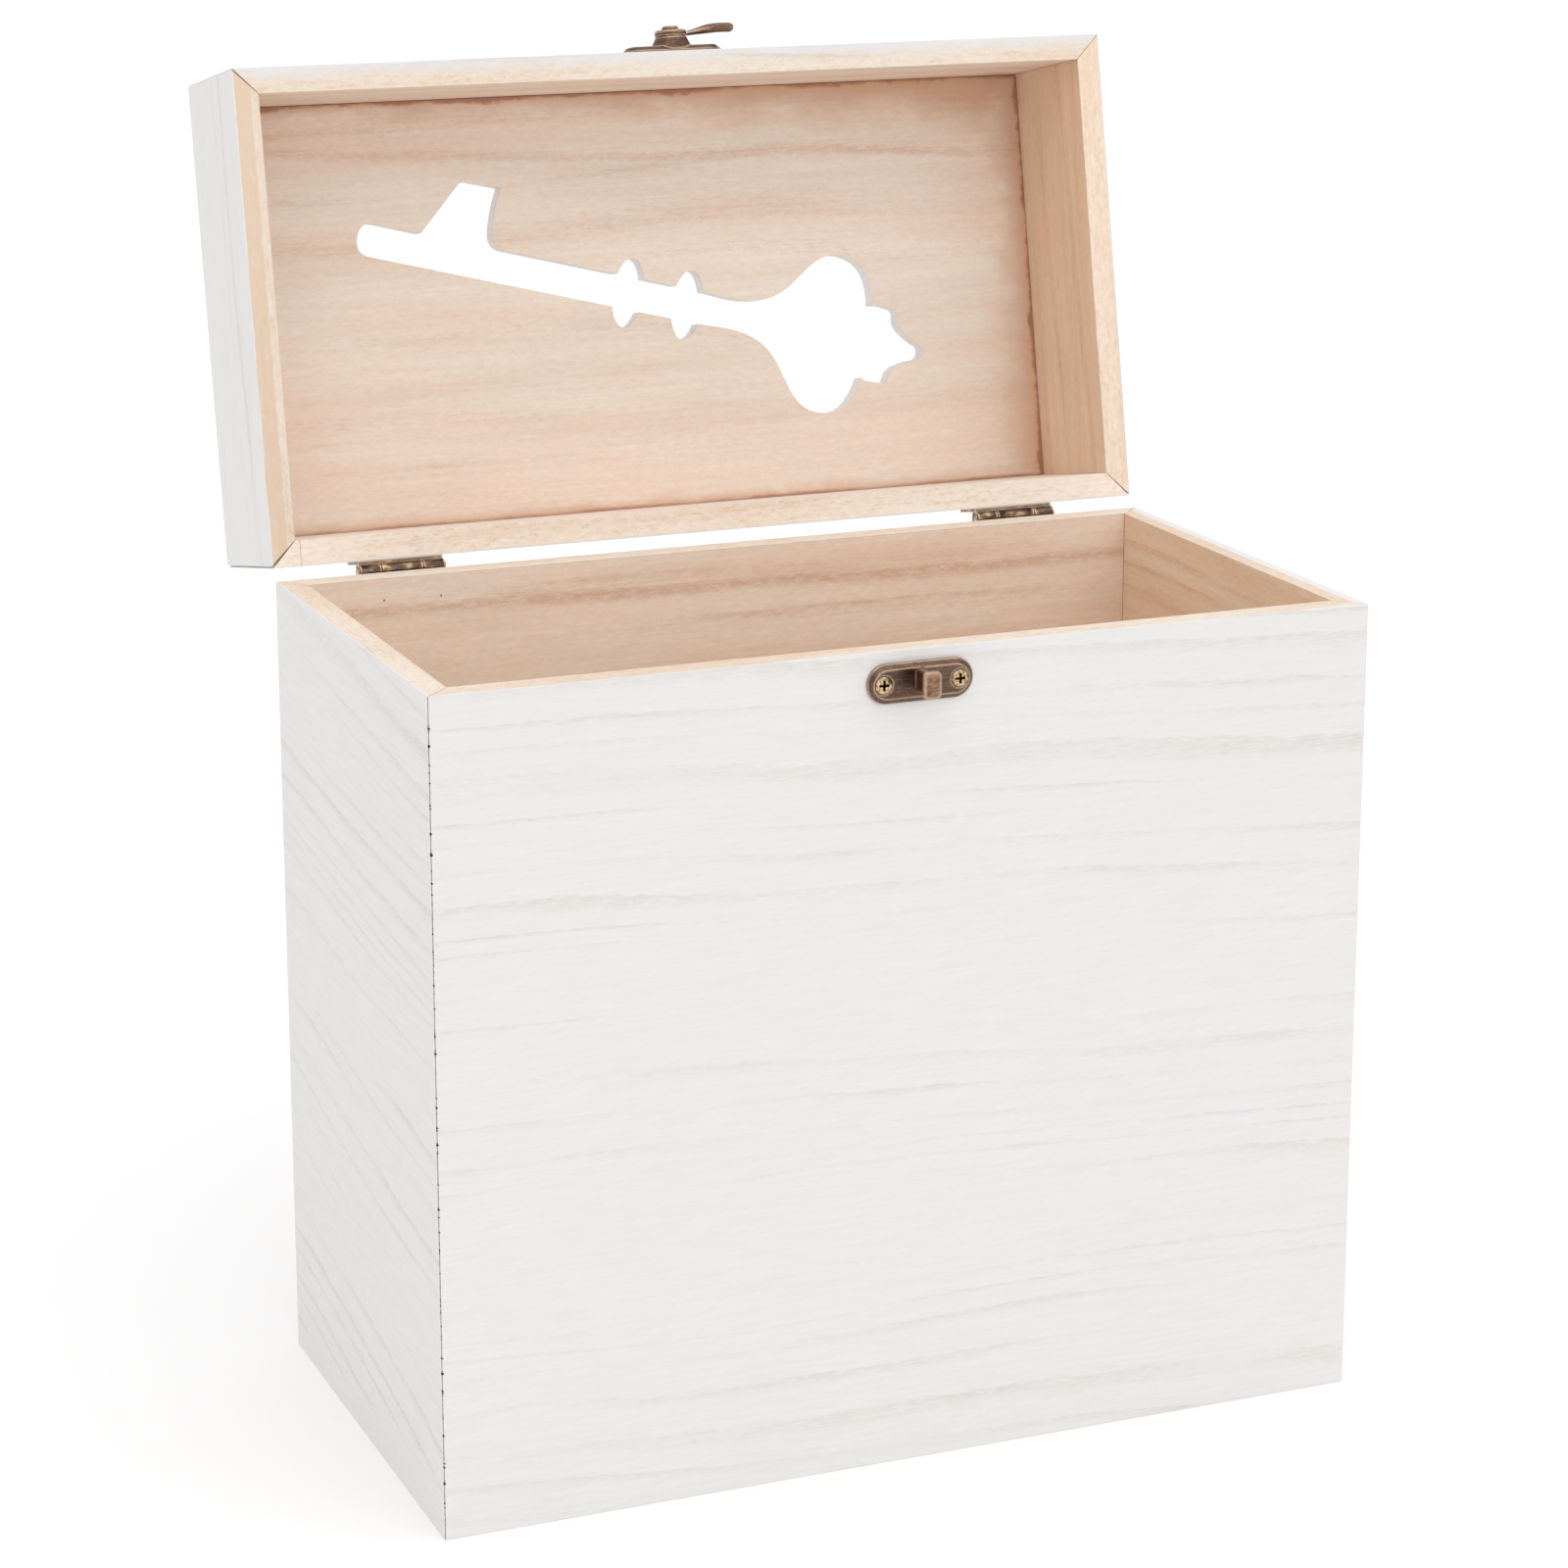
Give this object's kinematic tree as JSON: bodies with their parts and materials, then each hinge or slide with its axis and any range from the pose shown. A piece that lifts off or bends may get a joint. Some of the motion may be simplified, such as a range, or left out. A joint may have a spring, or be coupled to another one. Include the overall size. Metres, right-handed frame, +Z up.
{
  "type": "wedding card box",
  "caption": "Mitred wooden card box with a back-hinged lid, a skeleton-key-shaped card slot through the lid, stop hinges and a swinging horn latch at the front.",
  "frame": {"origin": "middle of the box's underside, on the surface that it stands on", "axes": "+Z up, -Y towards the front with the latch, +X to the right as seen from the front; the rest pose is the lid open on its hinge stops"},
  "size_m": [0.254, 0.2171, 0.3544],
  "materials": {
    "painted_wood": "thin white paint with the grain showing outside, bare pale wood inside",
    "bare_wood": "sanded bare wood",
    "antique_bronze": "aged bronze plating, worn bright on the edges",
    "bright_brass": "bright brass"
  },
  "bodies": {
    "box_body": {"front_panel": "painted_wood", "back_panel": "painted_wood", "left_panel": "painted_wood", "right_panel": "painted_wood", "bottom_panel": "bare_wood", "catch_plate": "antique_bronze", "catch_stud": "antique_bronze", "catch_screw_left": "bright_brass", "catch_screw_right": "bright_brass", "hinge_left_body_leaf": "antique_bronze", "hinge_left_pin": "antique_bronze", "hinge_left_body_screw_1": "antique_bronze", "hinge_left_body_screw_2": "antique_bronze", "hinge_right_body_leaf": "antique_bronze", "hinge_right_pin": "antique_bronze", "hinge_right_body_screw_1": "antique_bronze", "hinge_right_body_screw_2": "antique_bronze"},
    "lid": {"lid_front_rail": "painted_wood", "lid_back_rail": "painted_wood", "lid_left_rail": "painted_wood", "lid_right_rail": "painted_wood", "lid_panel": "painted_wood", "latch_plate": "antique_bronze", "latch_rivet": "antique_bronze", "latch_screw_left": "bright_brass", "latch_screw_right": "bright_brass", "hinge_left_lid_leaf": "antique_bronze", "hinge_left_lid_screw_1": "antique_bronze", "hinge_left_lid_screw_2": "antique_bronze", "hinge_right_lid_leaf": "antique_bronze", "hinge_right_lid_screw_1": "antique_bronze", "hinge_right_lid_screw_2": "antique_bronze"},
    "hook": {"latch_hook": "antique_bronze"}
  },
  "joints": [
    {"name": "lid_hinge", "type": "hinge", "parent": "box_body", "child": "lid", "pos_m": [0, 0.06865, 0.2162], "axis": [1, 0, 0], "range_deg": [0, 101.25]},
    {"name": "hook_swivel", "type": "hinge", "parent": "lid", "child": "hook", "pos_m": [0, 0.10317, 0.34667], "axis": [0, -0.1951, -0.9808], "range_deg": [-256, 81]}
  ]
}
